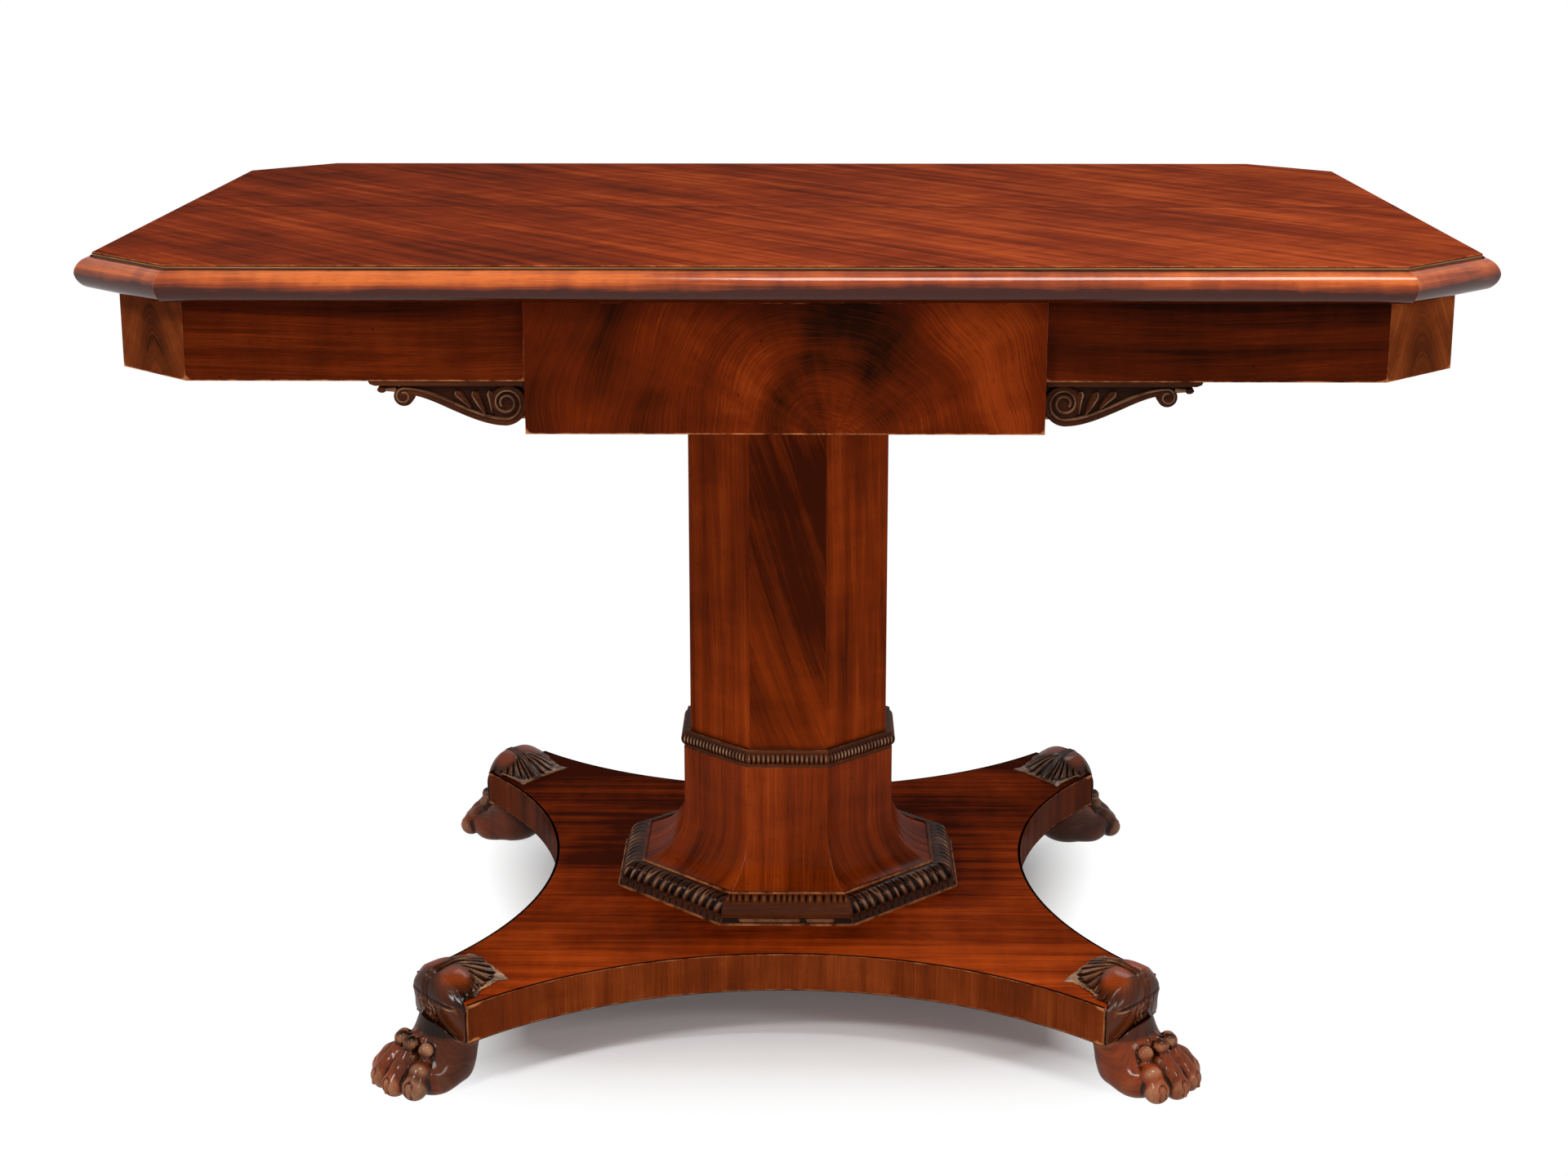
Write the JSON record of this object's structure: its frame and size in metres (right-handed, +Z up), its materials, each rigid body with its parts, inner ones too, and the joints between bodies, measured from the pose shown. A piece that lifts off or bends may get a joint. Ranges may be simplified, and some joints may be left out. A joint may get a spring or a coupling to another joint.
{
  "type": "single pedestal centre table",
  "caption": "Mahogany pedestal table: cut-corner top, frieze drawer with scroll brackets, octagonal column with a flared foot, concave platform on carved paw feet.",
  "frame": {"origin": "on the floor, on the axis of the column", "axes": "+Z up, +X along the length of the top, the drawer opens towards -Y"},
  "size_m": [1.2, 0.85, 0.76],
  "materials": {
    "top_veneer": "french polished mahogany veneer",
    "edge_nosing": "french polished mahogany, worn orange on the round",
    "apron_veneer": "french polished mahogany veneer, dark red brown",
    "corner_crotch": "french polished crotch mahogany veneer",
    "flame_crotch": "french polished flame mahogany veneer",
    "carved_mahogany": "carved mahogany, dark wax in the hollows",
    "column_veneer": "french polished mahogany veneer, upright grain",
    "platform_veneer": "french polished mahogany veneer",
    "platform_edge": "mahogany facing with upright grain, worn edges",
    "pine_carcase": "bare aged pine",
    "wrought_iron": "dull dark iron",
    "screw_steel": "dull steel"
  },
  "bodies": {
    "table": {"bearer_screws": "screw_steel", "collar_moulding": "carved_mahogany", "column_foot_block": "pine_carcase", "column_head_block": "pine_carcase", "column_staves": "column_veneer", "flared_foot_blocks": "column_veneer", "front_edge_nosing": "edge_nosing", "front_left_apron_rail": "apron_veneer", "front_left_canted_rail": "corner_crotch", "front_left_corner_nosing": "edge_nosing", "front_left_knee": "carved_mahogany", "front_left_paw": "carved_mahogany", "front_left_scroll_bracket": "carved_mahogany", "front_platform_facing": "platform_edge", "front_right_apron_rail": "apron_veneer", "front_right_canted_rail": "corner_crotch", "front_right_corner_nosing": "edge_nosing", "front_right_knee": "carved_mahogany", "front_right_paw": "carved_mahogany", "front_right_scroll_bracket": "carved_mahogany", "front_top_veneer": "top_veneer", "head_plank": "pine_carcase", "iron_tie_rod": "wrought_iron", "leaf_moulding": "carved_mahogany", "left_cross_bearer": "pine_carcase", "left_drawer_runner": "pine_carcase", "left_edge_nosing": "edge_nosing", "left_end_rail": "apron_veneer", "left_platform_facing": "platform_edge", "platform_board": "platform_veneer", "rail_glue_blocks": "pine_carcase", "rear_blind_front": "flame_crotch", "rear_edge_nosing": "edge_nosing", "rear_left_apron_rail": "apron_veneer", "rear_left_canted_rail": "corner_crotch", "rear_left_corner_nosing": "edge_nosing", "rear_left_knee": "carved_mahogany", "rear_left_paw": "carved_mahogany", "rear_left_scroll_bracket": "carved_mahogany", "rear_platform_facing": "platform_edge", "rear_right_apron_rail": "apron_veneer", "rear_right_canted_rail": "corner_crotch", "rear_right_corner_nosing": "edge_nosing", "rear_right_knee": "carved_mahogany", "rear_right_paw": "carved_mahogany", "rear_right_scroll_bracket": "carved_mahogany", "rear_top_veneer": "top_veneer", "right_cross_bearer": "pine_carcase", "right_drawer_runner": "pine_carcase", "right_edge_nosing": "edge_nosing", "right_end_rail": "apron_veneer", "right_platform_facing": "platform_edge", "tie_rod_nuts_and_washers": "wrought_iron", "top_core": "pine_carcase"},
    "drawer": {"drawer_front": "flame_crotch", "drawer_left_side": "pine_carcase", "drawer_right_side": "pine_carcase", "drawer_back": "pine_carcase", "drawer_bottom": "pine_carcase"}
  },
  "joints": [
    {"name": "drawer_slide", "type": "slide", "parent": "table", "child": "drawer", "axis": [0, -1, 0], "range_m": [0, 0.34]}
  ]
}
